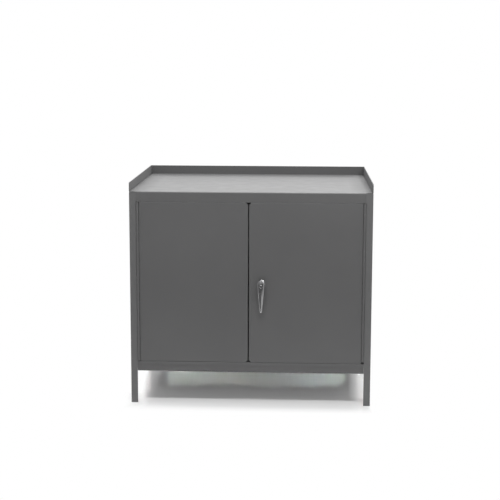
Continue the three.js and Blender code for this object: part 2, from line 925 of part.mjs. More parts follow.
for (const [sideName, right] of [['left', -1], ['right', 1]]) {
  for (const [endName, rear] of [['front', -1], ['rear', 1]]) {
    place(`leg_${endName}_${sideName}`, leg(right, rear));
    place(`shelf_standard_${endName}_${sideName}`, shelfStandard(right, rear), zincSteel);
    place(`shelf_clip_${endName}_${sideName}`, shelfClipPiece(right, rear), zincSteel);
  }
  place(`side_panel_${sideName}`, sidePanel(right));
  place(`hinge_stile_${sideName}`, hingeStile(right));
  place(`${sideName}_hinge_frame_leaf`, hingeLeaf(right, true));
  place(`${sideName}_hinge_door_leaf`, hingeLeaf(right, false));
  place(`${sideName}_hinge_pin`, hingePin(right), zincSteel);
}

place('left_door_pan', leftDoorPan());
place('right_door_pan', rightDoorPan());
place('left_door_stiffener', doorStiffener((leftMeeting - doorEdge) / 2));
place('right_door_stiffener', doorStiffener((rightMeeting + doorEdge) / 2));

place('handle_lever', handleLever(), chrome);
place('lock_plug', lockPlug(), chrome);
place('handle_collar', handleCollar(), chrome);
place('collar_nut', collarNut(), zincSteel);
place('handle_spindle', handleSpindle(), zincSteel);
place('latch_cam', latchCam(), zincSteel);

for (const [endName, up] of [['top', 1], ['bottom', -1]]) {
  place(`${endName}_rod`, latchRod(up), zincSteel);
  place(`${endName}_rod_guide`, rodGuide(up));
  place(`left_${endName}_bolt`, slideBolt(up), zincSteel);
  place(`left_${endName}_bolt_bracket`, boltBracket(up));
}

// The origin lies on the floor below the middle of the plan box, from the lever's face to the back lip.
cabinet.position.y = planShift;

const part = new THREE.Group();
part.add(cabinet);

export default part;
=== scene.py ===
"""Dresses the steel bench cabinet: paint, plating, lever, trim, rivets and welds, then its stage."""

import json
from math import pi, radians, tau

import bmesh
import bpy
import numpy as np
from bpy.props import FloatProperty, FloatVectorProperty, IntProperty, PointerProperty
from bpy.types import Operator, Panel, PropertyGroup
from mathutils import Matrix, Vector

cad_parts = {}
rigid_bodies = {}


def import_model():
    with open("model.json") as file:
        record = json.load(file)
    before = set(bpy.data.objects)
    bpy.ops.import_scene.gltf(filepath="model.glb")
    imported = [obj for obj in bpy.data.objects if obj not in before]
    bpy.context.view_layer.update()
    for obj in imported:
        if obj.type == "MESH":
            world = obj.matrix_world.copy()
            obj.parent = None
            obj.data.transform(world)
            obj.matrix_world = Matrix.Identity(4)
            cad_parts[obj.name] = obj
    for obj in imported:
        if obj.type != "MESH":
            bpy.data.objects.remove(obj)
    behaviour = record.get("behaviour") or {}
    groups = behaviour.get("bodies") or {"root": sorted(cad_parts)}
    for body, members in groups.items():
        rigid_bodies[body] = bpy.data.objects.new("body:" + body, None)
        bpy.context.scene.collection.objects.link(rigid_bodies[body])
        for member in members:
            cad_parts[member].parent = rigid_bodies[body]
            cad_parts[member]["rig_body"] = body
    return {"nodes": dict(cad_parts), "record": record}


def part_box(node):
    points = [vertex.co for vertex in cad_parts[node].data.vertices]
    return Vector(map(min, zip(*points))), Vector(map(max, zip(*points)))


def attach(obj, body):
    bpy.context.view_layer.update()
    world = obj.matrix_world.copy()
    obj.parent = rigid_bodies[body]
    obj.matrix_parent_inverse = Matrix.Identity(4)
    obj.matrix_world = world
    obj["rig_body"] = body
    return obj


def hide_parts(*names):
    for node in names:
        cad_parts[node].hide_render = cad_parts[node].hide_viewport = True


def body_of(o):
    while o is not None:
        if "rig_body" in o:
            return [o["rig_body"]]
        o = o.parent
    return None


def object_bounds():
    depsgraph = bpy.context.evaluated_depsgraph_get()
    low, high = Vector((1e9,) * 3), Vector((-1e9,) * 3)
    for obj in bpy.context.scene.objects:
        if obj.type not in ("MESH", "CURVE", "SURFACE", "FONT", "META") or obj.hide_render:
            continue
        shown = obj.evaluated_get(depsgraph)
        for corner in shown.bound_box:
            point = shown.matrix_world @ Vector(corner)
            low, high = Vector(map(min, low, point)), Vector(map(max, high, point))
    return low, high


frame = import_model()
cad_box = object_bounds()

bl_info = {
    "name": "Bench Cabinet Dresser",
    "version": (1, 0, 0),
    "blender": (4, 5, 0),
    "location": "3D View > Sidebar > Bench Cabinet",
    "description": "Paints, plates and details the steel bench cabinet and sets its stage",
    "category": "Object",
}

SLOT_OF = {item["node"]: item["material_slot"] for item in frame["record"]["subparts"]}
PLATED = [node for node, slot in SLOT_OF.items() if slot == "zinc_steel"]
CHROMED = [node for node, slot in SLOT_OF.items() if slot == "chrome"]
PAINTED = [node for node, slot in SLOT_OF.items() if slot == "grey_paint"]
LEGS = [node for node in PAINTED if node.startswith("leg_")]
DOOR_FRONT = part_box("right_door_pan")[0].y
SPARE = 0.001  # how far a cutter stands past the face that it cuts
CAST_ANGLE = radians(35)  # edges of the lever and the key plug look sharp from here on


def middle_of(node):
    """Centre of a node's box at rest."""
    low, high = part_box(node)
    return (low + high) / 2


class PaintSettings(PropertyGroup):
    """Satin grey powder coat."""

    colour: FloatVectorProperty(
        name="Colour", description="Colour of the paint", subtype="COLOR",
        default=(0.111, 0.111, 0.112), min=0, max=1,
    )
    mottle: FloatProperty(
        name="Mottle", description="How far the colour drifts over a sheet", subtype="FACTOR",
        default=0.05, min=0, max=1,
    )
    drift_size: FloatProperty(
        name="Drift size", description="Width of one patch of the drifting colour", unit="LENGTH",
        default=0.35,
    )
    fleck_size: FloatProperty(
        name="Fleck size", description="Width of one fleck in the colour", unit="LENGTH", default=0.0016
    )
    fleck_share: FloatProperty(
        name="Fleck share", description="Weight of the flecks beside the drift", subtype="FACTOR",
        default=0.35, min=0, max=1,
    )
    roughness: FloatProperty(
        name="Roughness", description="Mean roughness of the coat", subtype="FACTOR",
        default=0.42, min=0, max=1,
    )
    gloss_size: FloatProperty(
        name="Gloss size", description="Width of one patch of uneven gloss", unit="LENGTH", default=0.05
    )
    gloss_spread: FloatProperty(
        name="Gloss spread", description="How far the roughness strays from its mean",
        default=0.03, min=0, max=1,
    )
    peel_size: FloatProperty(
        name="Peel size", description="Width of one grain of the coat's orange peel", unit="LENGTH",
        default=0.0024,
    )
    peel_depth: FloatProperty(
        name="Peel depth", description="Height of the coat's orange peel", unit="LENGTH", default=0.00003
    )
    wave_size: FloatProperty(
        name="Wave size", description="Width of the slow waves in a sheet", unit="LENGTH", default=0.26
    )
    wave_depth: FloatProperty(
        name="Wave depth", description="Height of the slow waves in a sheet", unit="LENGTH", default=0.0006
    )
    # Painted light: the legs have the sheets' paint, made brighter by this factor for the extra light they
    # catch.
    leg_light_tone: FloatProperty(
        name="Leg tone", description="Brightness of the coat on the rolled legs", default=1.16, min=0
    )
    leg_relief: FloatProperty(
        name="Leg relief", description="Share of peel and waves left on the legs", subtype="FACTOR",
        default=0.3, min=0, max=1,
    )
    top_roughness: FloatProperty(
        name="Top roughness", description="Mean roughness of the worktop's coat", subtype="FACTOR",
        default=0.46, min=0, max=1,
    )
    lip_roughness: FloatProperty(
        name="Lip roughness", description="Mean roughness of the worktop's lips", subtype="FACTOR",
        default=0.7, min=0, max=1,
    )
    # Painted shade: the back lip's coat is made this much darker.
    back_shade_tone: FloatProperty(
        name="Back tone", description="Brightness of the coat on the back lip", default=0.86, min=0
    )
    lip_gauge: FloatProperty(
        name="Lip gauge", description="Thickness of the lips", unit="LENGTH", default=0.0027
    )
    dull_width: FloatProperty(
        name="Dull width", description="Width of the duller paint beside a lip", unit="LENGTH", default=0.08
    )
    # Painted shade in the bends at the foot of the side lips: its width and how much it darkens the paint.
    shade_width: FloatProperty(
        name="Grime width", description="Width of the grime in a lip's bend", unit="LENGTH", default=0.007
    )
    shade: FloatProperty(
        name="Shade", description="How much the grime darkens the paint", subtype="FACTOR",
        default=0.5, min=0, max=1,
    )
    top_relief: FloatProperty(
        name="Top relief", description="Share of peel and waves left on the worktop", subtype="FACTOR",
        default=0.08, min=0, max=1,
    )


class PlatingSettings(PropertyGroup):
    """Chrome on the lever, zinc on the latch and the shelf supports."""

    chrome: FloatVectorProperty(
        name="Chrome", description="Colour of the chrome", subtype="COLOR",
        default=(0.80, 0.80, 0.81), min=0, max=1,
    )
    chrome_roughness: FloatProperty(
        name="Chrome roughness", description="Mean roughness of the chrome", subtype="FACTOR",
        default=0.12, min=0, max=1,
    )
    zinc: FloatVectorProperty(
        name="Zinc", description="Colour of the zinc", subtype="COLOR",
        default=(0.50, 0.50, 0.51), min=0, max=1,
    )
    zinc_roughness: FloatProperty(
        name="Zinc roughness", description="Mean roughness of the zinc", subtype="FACTOR",
        default=0.38, min=0, max=1,
    )
    spangle: FloatProperty(
        name="Spangle", description="Width of one crystal of the zinc", unit="LENGTH", default=0.006
    )


class LeverSettings(PropertyGroup):
    """Cast lever with a key lock in its hub."""

    reach: FloatProperty(
        name="Reach", description="Door to the hub's face", unit="LENGTH",
        default=DOOR_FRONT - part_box("handle_lever")[0].y,
    )
    rise: FloatProperty(
        name="Rise", description="Axis to the top of the hub", unit="LENGTH",
        default=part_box("handle_lever")[1].z - middle_of("lock_plug").z,
    )
    drop: FloatProperty(
        name="Drop", description="Axis to the tip", unit="LENGTH",
        default=middle_of("lock_plug").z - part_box("handle_lever")[0].z,
    )
    hub_width: FloatProperty(name="Hub width", description="Width of the hub", unit="LENGTH", default=0.027)
    hub_depth: FloatProperty(
        name="Hub depth", description="Front to back of the hub", unit="LENGTH", default=0.0217
    )
    hub_power: FloatProperty(
        name="Hub power", description="Power of the hub's outline, from 2 for round upwards for squarer",
        default=2.3, min=2,
    )
    hub_tilt: FloatProperty(
        name="Hub tilt", description="Rise of the hub's top from left to right, over its width",
        default=0.24,
    )
    belly_width: FloatProperty(
        name="Belly width", description="Steers the taper between hub and tip", unit="LENGTH", default=0.022
    )
    tip_width: FloatProperty(
        name="Tip width", description="Width of the tip", unit="LENGTH", default=0.0076
    )
    arm_offset: FloatProperty(
        name="Arm offset", description="Door to the back of the arm at the hub", unit="LENGTH",
        default=0.017,
    )
    tip_offset: FloatProperty(
        name="Tip offset", description="Door to the back of the arm at the tip", unit="LENGTH",
        default=0.019,
    )
    arm_thickness: FloatProperty(
        name="Arm thickness", description="Front to back of the arm at the hub", unit="LENGTH",
        default=0.015,
    )
    tip_thickness: FloatProperty(
        name="Tip thickness", description="Front to back of the arm at the tip", unit="LENGTH",
        default=0.007,
    )
    bore: FloatProperty(
        name="Bore", description="Diameter of the bore for the key plug", unit="LENGTH", default=0.013
    )
    bore_chamfer: FloatProperty(
        name="Bore chamfer", description="Width of the chamfer round the bore", unit="LENGTH",
        default=0.0008,
    )
    plug_dish: FloatProperty(
        name="Plug dish", description="Depth of the key plug's dished face", unit="LENGTH", default=0.0009
    )
    key_width: FloatProperty(
        name="Keyway width", description="Width of the keyway", unit="LENGTH", default=0.0016
    )
    key_length: FloatProperty(
        name="Keyway length", description="Length of the keyway", unit="LENGTH", default=0.0072
    )
    key_depth: FloatProperty(
        name="Keyway depth", description="Depth of the keyway", unit="LENGTH", default=0.008
    )


class FastenerSettings(PropertyGroup):
    """Rivets of the straps inside the doors and spot welds of the stiffeners."""

    rivet_width: FloatProperty(
        name="Rivet width", description="Diameter of a rivet head", unit="LENGTH", default=0.0062
    )
    rivet_height: FloatProperty(
        name="Rivet height", description="Height of a rivet head", unit="LENGTH", default=0.0016
    )
    weld_width: FloatProperty(
        name="Weld width", description="Diameter of a spot weld", unit="LENGTH", default=0.0066
    )
    weld_height: FloatProperty(
        name="Weld height", description="Height of a spot weld", unit="LENGTH", default=0.0005
    )
    weld_count: IntProperty(name="Weld count", description="Spot welds along one flange", default=8, min=2)
    rivet_inset: FloatProperty(
        name="Rivet inset", description="Rivets to the end of a strap", unit="LENGTH", default=0.005
    )
    weld_inset: FloatProperty(
        name="Weld inset", description="Welds to the long edge of a flange", unit="LENGTH", default=0.0062
    )
    weld_margin: FloatProperty(
        name="Weld margin", description="Last weld to the end of a flange", unit="LENGTH", default=0.02
    )
    gauge: FloatProperty(name="Gauge", description="Thickness of the sheets", unit="LENGTH", default=0.0015)


class TrimSettings(PropertyGroup):
    """How far the doors' meeting corners and the right hinge's foot are cut back."""

    corner_clip: FloatProperty(
        name="Corner clip", description="Size of the clip at the doors' meeting corners", unit="LENGTH",
        default=0.009,
    )
    edge_lean: FloatProperty(
        name="Edge lean", description="How far the left door's edge leans back at its foot", unit="LENGTH",
        default=0.0007,
    )
    edge_width: FloatProperty(
        name="Edge width", description="Width of the strip along the meeting edge that leans", unit="LENGTH",
        default=0.006,
    )
    hinge_foot: FloatProperty(
        name="Hinge foot", description="Length cut off the right hinge's lower end", unit="LENGTH",
        default=0.0055,
    )


class StageSettings(PropertyGroup):
    """Camera, floor, lamps, flags and wall."""

    camera_place: FloatVectorProperty(
        name="Camera place", description="Where the camera stands", subtype="TRANSLATION", unit="LENGTH",
        default=(0.1828, -4.303, 1.3268),
    )
    camera_turn: FloatVectorProperty(
        name="Camera turn", description="How the camera is turned", subtype="EULER", unit="ROTATION",
        default=(radians(82.118), radians(-0.126), radians(2.656)),
    )
    lens: FloatProperty(
        name="Lens", description="Focal length in millimetres on a 36 mm frame", default=78.096
    )
    shift: FloatProperty(name="Shift", description="Upright shift of the frame", default=-0.09)
    floor_colour: FloatVectorProperty(
        name="Floor colour", description="Colour of the floor", subtype="COLOR",
        default=(0.86, 0.86, 0.86), min=0, max=1,
    )
    room_light: FloatProperty(
        name="Room light", description="Strength of the light from all sides", default=0.46
    )
    left_power: FloatProperty(
        name="Left lamp", description="Power of the lamp to the left", unit="POWER", default=24
    )
    right_power: FloatProperty(
        name="Right lamp", description="Power of the lamp to the right", unit="POWER", default=68
    )
    top_power: FloatProperty(
        name="Top lamp", description="Power of the lamp overhead", unit="POWER", default=38
    )
    high_power: FloatProperty(
        name="High lamp", description="Power of the lamp high in front", unit="POWER", default=49
    )
    front_power: FloatProperty(
        name="Front lamp", description="Power of the lamp in front", unit="POWER", default=76
    )
    back_power: FloatProperty(
        name="Back lamp", description="Power of the lamp behind", unit="POWER", default=13
    )
    low_power: FloatProperty(
        name="Low lamp", description="Power of each low lamp behind", unit="POWER", default=0.68
    )
    left_flag: FloatProperty(
        name="Left flag", description="Middle to the inner edge of the left flag behind", unit="LENGTH",
        default=0.394,
    )
    right_flag: FloatProperty(
        name="Right flag", description="Middle to the inner edge of the right flag behind", unit="LENGTH",
        default=0.415,
    )
    flag_place: FloatProperty(
        name="Flag place", description="How far behind the middle the flags stand", unit="LENGTH",
        default=0.312,
    )
    flag_height: FloatProperty(
        name="Flag height", description="Height of the flags", unit="LENGTH", default=0.14
    )
    wall_radius: FloatProperty(
        name="Wall radius", description="Distance of the dim wall round the front", unit="LENGTH",
        default=1.0,
    )


# Meshes

def new_piece(name, points, faces, material, body, smooth_angle=None):
    """Mesh object at the origin, with merged doubles and outward faces, that rides on a body."""
    mesh = bpy.data.meshes.new(name)
    mesh.from_pydata(np.asarray(points).reshape(-1, 3).tolist(), [], [list(face) for face in faces])
    mesh.validate()
    merge_doubles(mesh)
    if smooth_angle is not None:
        mesh.polygons.foreach_set("use_smooth", np.ones(len(mesh.polygons), dtype=bool))
        mesh.set_sharp_from_angle(angle=smooth_angle)
    mesh.materials.append(material)
    piece = bpy.data.objects.new(name, mesh)
    bpy.context.scene.collection.objects.link(piece)
    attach(piece, body)
    return piece


def copy_of(node, name):
    """Piece with the shape, the coat and the body of a CAD node, which it stands for."""
    original = frame["nodes"][node]
    piece = bpy.data.objects.new(name, original.data.copy())
    bpy.context.scene.collection.objects.link(piece)
    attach(piece, body_of(original)[0])
    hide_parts(node)
    return piece


def points_of(mesh):
    """All points of a mesh, one to a row."""
    points = np.empty(len(mesh.vertices) * 3)
    mesh.vertices.foreach_get("co", points)
    return points.reshape(-1, 3)


def set_points(mesh, points):
    """Moves the points of a mesh to new places."""
    mesh.vertices.foreach_set("co", points.ravel())


def merge_doubles(mesh):
    """Closes seams and poles, and turns the faces outwards."""
    work = bmesh.new()
    work.from_mesh(mesh)
    bmesh.ops.remove_doubles(work, verts=work.verts, dist=1e-6)
    bmesh.ops.dissolve_degenerate(work, edges=work.edges, dist=1e-7)
    bmesh.ops.recalc_face_normals(work, faces=work.faces)
    work.to_mesh(mesh)
    work.free()


def grid_faces(rows, columns, wrap=True):
    """Quads of a grid of points, rows by columns; wrap joins the last column to the first."""
    row, column = np.meshgrid(np.arange(rows - 1), np.arange(columns if wrap else columns - 1), indexing="ij")
    here = row * columns + column
    right = row * columns + (column + 1) % columns
    return np.stack([here, right, right + columns, here + columns], axis=-1).reshape(-1, 4)


def revolve(profile, sides):
    """Surface of revolution: each [radius, height] of the profile is carried round the height axis."""
    profile = np.asarray(profile, dtype=float)
    angle = np.linspace(0, tau, sides, endpoint=False)
    radius = profile[:, None, 0]
    height = np.broadcast_to(profile[:, None, 1], (len(profile), sides))
    return np.stack([radius * np.cos(angle), radius * np.sin(angle), height], axis=-1)


def copies(points, faces, places):
    """One shape set at many places: every point plus every place, and its faces numbered on."""
    flat = points.reshape(-1, 3)
    moved = flat[None, :, :] + np.asarray(places)[:, None, :]
    shift = np.arange(len(places))[:, None, None] * len(flat)
    return moved.reshape(-1, 3), (faces[None, :, :] + shift).reshape(-1, faces.shape[1])


def turned_to_back(points):
    """Turns a shape whose height runs along Z so that it stands out along +Y, into the cabinet."""
    return np.stack([points[..., 0], points[..., 2], -points[..., 1]], axis=-1)


def dome(width, height, steps, sides):
    """Dome that stands out along +Y: half an ellipse, from pole to rim and in under it, carried round."""
    angle = np.linspace(0, pi / 2, steps)
    rim = np.stack([width / 2 * np.sin(angle), height * np.cos(angle)], axis=-1)
    points = turned_to_back(revolve(np.vstack([rim, [[0, 0]]]), sides))
    return points, grid_faces(*points.shape[:2])


# Materials

def new_material(name):
    """Material with a Principled shader; gives the material, its node tree and the shader."""
    material = bpy.data.materials.new(name)
    material.use_nodes = True
    return material, material.node_tree, material.node_tree.nodes["Principled BSDF"]


def object_noise(tree, size, detail, roughness=0.5):
    """Noise on Object coordinates whose grain is about the given size."""
    place = tree.nodes.new("ShaderNodeTexCoord")
    noise = tree.nodes.new("ShaderNodeTexNoise")
    noise.inputs["Scale"].default_value = 1 / size
    noise.inputs["Detail"].default_value = detail
    noise.inputs["Roughness"].default_value = roughness
    tree.links.new(place.outputs["Object"], noise.inputs["Vector"])
    return noise.outputs["Fac"]


def spread(tree, value, low, high, start=0.3, end=0.7, way="LINEAR"):
    """Maps a value from start and end to low and high."""
    ramp = tree.nodes.new("ShaderNodeMapRange")
    ramp.interpolation_type = way
    ramp.inputs["From Min"].default_value = start
    ramp.inputs["From Max"].default_value = end
    ramp.inputs["To Min"].default_value = low
    ramp.inputs["To Max"].default_value = high
    tree.links.new(value, ramp.inputs["Value"])
    return ramp.outputs["Result"]


def two_colours(tree, value, low, high):
    """Mixes two colours by a value from 0 to 1."""
    mix = tree.nodes.new("ShaderNodeMix")
    mix.data_type = "RGBA"
    mix.inputs["A"].default_value = (*low, 1)
    mix.inputs["B"].default_value = (*high, 1)
    tree.links.new(value, mix.inputs["Factor"])
    return mix.outputs["Result"]


def raised(tree, height, depth, under=None):
    """Bump of the given depth, laid over another bump."""
    bump = tree.nodes.new("ShaderNodeBump")
    bump.inputs["Strength"].default_value = 1
    bump.inputs["Distance"].default_value = depth
    tree.links.new(height, bump.inputs["Height"])
    if under is not None:
        tree.links.new(under, bump.inputs["Normal"])
    return bump.outputs["Normal"]


def calculated(tree, operation, first, second=None):
    """Math node on a socket and a second socket or number."""
    node = tree.nodes.new("ShaderNodeMath")
    node.operation = operation
    tree.links.new(first, node.inputs[0])
    if isinstance(second, (int, float)):
        node.inputs[1].default_value = second
    elif second is not None:
        tree.links.new(second, node.inputs[1])
    return node.outputs["Value"]


def object_place(tree):
    """Sockets for the X, Y and Z of a point in Object coordinates."""
    place = tree.nodes.new("ShaderNodeTexCoord")
    parts = tree.nodes.new("ShaderNodeSeparateXYZ")
    tree.links.new(place.outputs["Object"], parts.inputs["Vector"])
    return parts.outputs


def powder_coat(name, paint, roughness, relief, tone=1.0):
    """Powder coat: a slow drift and a fine fleck in the colour, uneven gloss, orange peel over slow waves.

    Gives the material, its node tree and the socket that holds the mean roughness.
    """
    material, tree, shader = new_material(name)
    base = np.array(paint.colour) * tone
    drift = object_noise(tree, paint.drift_size, 3)
    fleck = object_noise(tree, paint.fleck_size, 2)
    blend = calculated(tree, "ADD", calculated(tree, "MULTIPLY", fleck, paint.fleck_share), drift)
    darkest, lightest = 0.45, 0.90
    share = spread(tree, blend, 0, 1, darkest, lightest)
    colour = two_colours(tree, share, base * (1 - paint.mottle), base * (1 + paint.mottle))
    tree.links.new(colour, shader.inputs["Base Color"])
    gloss = spread(tree, object_noise(tree, paint.gloss_size, 4), -paint.gloss_spread, paint.gloss_spread)
    total = tree.nodes.new("ShaderNodeMath")
    total.inputs[1].default_value = roughness
    tree.links.new(gloss, total.inputs[0])
    tree.links.new(total.outputs["Value"], shader.inputs["Roughness"])
    wave = raised(tree, object_noise(tree, paint.wave_size, 1), paint.wave_depth * relief)
    peel = raised(tree, object_noise(tree, paint.peel_size, 2), paint.peel_depth * relief, wave)
    tree.links.new(peel, shader.inputs["Normal"])
    return material, tree, total.inputs[1]


def worktop_coat(name, paint):
    """Powder coat of the worktop: satin in the middle, duller towards the side lips, painted shade in their
    bends.

    The back lip is a little darker, which is painted shade too.
    """
    material, tree, roughness = powder_coat(name, paint, paint.top_roughness, paint.top_relief)
    shader = tree.nodes["Principled BSDF"]
    place = object_place(tree)
    top = frame["record"]["mounts"][0]["pos_m"][2]
    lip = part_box("worktop")[1].x - paint.lip_gauge
    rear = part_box("worktop")[1].y - paint.lip_gauge
    aside = calculated(tree, "ABSOLUTE", place["X"])
    bend_foot, bend_top = top + 0.001, top + 0.004
    on_lip = spread(tree, place["Z"], 0, 1, bend_foot, bend_top)
    beside = spread(tree, aside, 0, 1, lip - paint.dull_width, lip)
    dull = calculated(tree, "MAXIMUM", on_lip, beside)
    tree.links.new(spread(tree, dull, paint.top_roughness, paint.lip_roughness, 0, 1), roughness)
    fade_start, fade_end = 0.0004, 0.0008  # within the sheet, where the painted shade ends out of sight
    face = 0.0005  # past the sheet's face, where the painted shade is darkest
    # Painted shade: a dark line in the bends at the foot of the side lips, where shade falls.
    inside = calculated(
        tree, "MULTIPLY",
        spread(tree, aside, 0, 1, lip - paint.shade_width, lip - face),
        spread(tree, aside, 1, 0, lip + fade_start, lip + fade_end),
    )
    corner = calculated(
        tree, "MULTIPLY",
        spread(tree, place["Z"], 0, 1, top - fade_end, top - fade_start),
        spread(tree, place["Z"], 1, 0, top + face, top + paint.shade_width),
    )
    shade = calculated(tree, "MULTIPLY", inside, corner)
    # Painted shade: the back lip is darker than the rest of the worktop.
    back_bend = rear - 0.003
    back_shade = spread(tree, place["Y"], 1, paint.back_shade_tone, back_bend, rear - face)
    shade_factor = calculated(tree, "MULTIPLY", spread(tree, shade, 1, 1 - paint.shade, 0, 1), back_shade)
    # The colour is multiplied by the painted shade.
    shaded_colour = tree.nodes.new("ShaderNodeMix")
    shaded_colour.data_type = "RGBA"
    shaded_colour.blend_type = "MULTIPLY"
    shaded_colour.inputs["Factor"].default_value = 1
    tree.links.new(shader.inputs["Base Color"].links[0].from_socket, shaded_colour.inputs["A"])
    tree.links.new(shade_factor, shaded_colour.inputs["B"])
    tree.links.new(shaded_colour.outputs["Result"], shader.inputs["Base Color"])
    return material


def chrome_plate(name, plating):
    """Chrome: a mirror with faint hazy patches and fine polishing marks."""
    material, tree, shader = new_material(name)
    shader.inputs["Metallic"].default_value = 1
    bright = np.array(plating.chrome)
    patch_size, haze_size, mark_size, mark_depth = 0.02, 0.008, 0.0008, 2e-6
    dullest = 0.94
    colour = two_colours(tree, object_noise(tree, patch_size, 3), bright * dullest, bright)
    tree.links.new(colour, shader.inputs["Base Color"])
    clear, hazy = plating.chrome_roughness - 0.03, plating.chrome_roughness + 0.05
    tree.links.new(spread(tree, object_noise(tree, haze_size, 4), clear, hazy), shader.inputs["Roughness"])
    tree.links.new(raised(tree, object_noise(tree, mark_size, 2), mark_depth), shader.inputs["Normal"])
    return material


def zinc_plate(name, plating):
    """Zinc: crystals of slightly different grey and gloss, with a fine grain."""
    material, tree, shader = new_material(name)
    shader.inputs["Metallic"].default_value = 1
    place = tree.nodes.new("ShaderNodeTexCoord")
    crystal = tree.nodes.new("ShaderNodeTexVoronoi")
    crystal.inputs["Scale"].default_value = 1 / plating.spangle
    tree.links.new(place.outputs["Object"], crystal.inputs["Vector"])
    grey = tree.nodes.new("ShaderNodeRGBToBW")
    tree.links.new(crystal.outputs["Color"], grey.inputs["Color"])
    tone = np.array(plating.zinc)
    darkest, lightest = 0.88, 1.1
    colour = two_colours(tree, grey.outputs["Val"], tone * darkest, tone * lightest)
    tree.links.new(colour, shader.inputs["Base Color"])
    smoothest, roughest = plating.zinc_roughness - 0.06, plating.zinc_roughness + 0.08
    tree.links.new(spread(tree, grey.outputs["Val"], smoothest, roughest, 0, 1), shader.inputs["Roughness"])
    grain_size, grain_depth = 0.0012, 8e-6
    tree.links.new(raised(tree, object_noise(tree, grain_size, 3), grain_depth), shader.inputs["Normal"])
    return material


def coat(nodes, material):
    """Gives CAD nodes one material."""
    for name in nodes:
        slots = frame["nodes"][name].data.materials
        slots.clear()
        slots.append(material)


# Lever

def lever_sides(lever, rows):
    """Height, half width, back, front and share of the ridge of each row, from the hub's top to the tip.

    The hub is half a superellipse about its own centre; below it the half width follows a quadratic curve
    from hub to tip; the tip is a half circle. Back and front run from the hub's to the arm's by a smooth
    step, and fall in towards the top of the hub and the end of the tip.
    """
    hub_radius = lever.hub_width / 2
    hub_centre = lever.rise - hub_radius
    tip_radius = lever.tip_width / 2
    tip_centre = lever.drop - tip_radius
    hub_angle = np.linspace(pi / 2, 0, rows["hub"], endpoint=False)
    share = np.linspace(0, 1, rows["arm"])
    tip_angle = np.linspace(0, pi / 2, rows["tip"] + 1)[1:]
    height = np.concatenate([
        hub_centre + hub_radius * np.sin(hub_angle) ** (2 / lever.hub_power),
        hub_centre - share * (tip_centre + hub_centre),
        -tip_centre - tip_radius * np.sin(tip_angle),
    ])
    curve = (1 - share) ** 2 * hub_radius + share * (1 - share) * lever.belly_width + share**2 * tip_radius
    hub_half = hub_radius * np.cos(hub_angle) ** (2 / lever.hub_power)
    half = np.concatenate([hub_half, curve, tip_radius * np.cos(tip_angle)])
    neck_start, arm_start, neck_end = 0.0105, 0.015, 0.030  # below the axis
    arm = smooth_step(-height, neck_start, neck_end)
    along = np.clip((-height - arm_start) / (lever.drop - arm_start), 0, 1)
    rear = lever.arm_offset + (lever.tip_offset - lever.arm_offset) * along
    thick = lever.arm_thickness + (lever.tip_thickness - lever.arm_thickness) * along
    back = (lever.reach - lever.hub_depth) * (1 - arm) + rear * arm
    front = lever.reach * (1 - arm) + (rear + thick) * arm
    dome_power, dome_back, dome_front, tip_share = 1.5, 0.0022, 0.0080, 0.3
    hub_dome = np.clip((height - lever.bore / 2) / (lever.rise - lever.bore / 2), 0, 1) ** dome_power
    tip_dome = np.concatenate([np.zeros(rows["hub"] + rows["arm"]), 1 - np.cos(tip_angle)])
    tip_fall = tip_share * lever.tip_thickness * tip_dome
    back = back + dome_back * hub_dome + tip_fall
    front = front - dome_front * hub_dome - tip_fall
    ridge_start, ridge_full = -0.004, 0.055  # below the axis
    return height, half, back, front, smooth_step(-height, ridge_start, ridge_full)


def smooth_step(value, start, end):
    """Cubic step from 0 at start to 1 at end."""
    share = np.clip((value - start) / (end - start), 0, 1)
    return share * share * (3 - 2 * share)


def lever_points(lever, axis):
    """Lever as a grid: rows run down the lever and columns run round its section.

    Across the section, the front falls from a soft ridge to round edges and the back is nearly flat. The
    ridge fades out at the hub, whose face is flat and whose top rises from left to right.
    """
    rows = {"hub": 20, "arm": 90, "tip": 12}
    columns = 96
    height, half, back, front, ridge_share = (value[:, None] for value in lever_sides(lever, rows))
    angle = np.linspace(0, tau, columns, endpoint=False)
    across = np.cos(angle)
    size = np.abs(across)
    seam = 0.36  # share of the depth, from the back, where front and back meet
    ridge_fall, ridge_radius = 0.36, 0.07
    front_power, back_power = 5, 3
    ridge = np.sqrt(size**2 + ridge_radius**2) - ridge_radius
    edge = (1 - size**front_power) ** (1 / front_power)
    crown = seam + (1 - seam - ridge_fall * ridge * ridge_share) * edge
    flat = seam - seam * (1 - size**back_power) ** (1 / back_power)
    share = np.where(np.sin(angle) >= 0, crown, flat)
    x = axis.x + half * across
    y = DOOR_FRONT - (back + (front - back) * share)
    z = axis.z + height + lever.hub_tilt * half * across * smooth_step(height, 0, lever.bore)
    return np.stack([x, y, z], axis=-1)


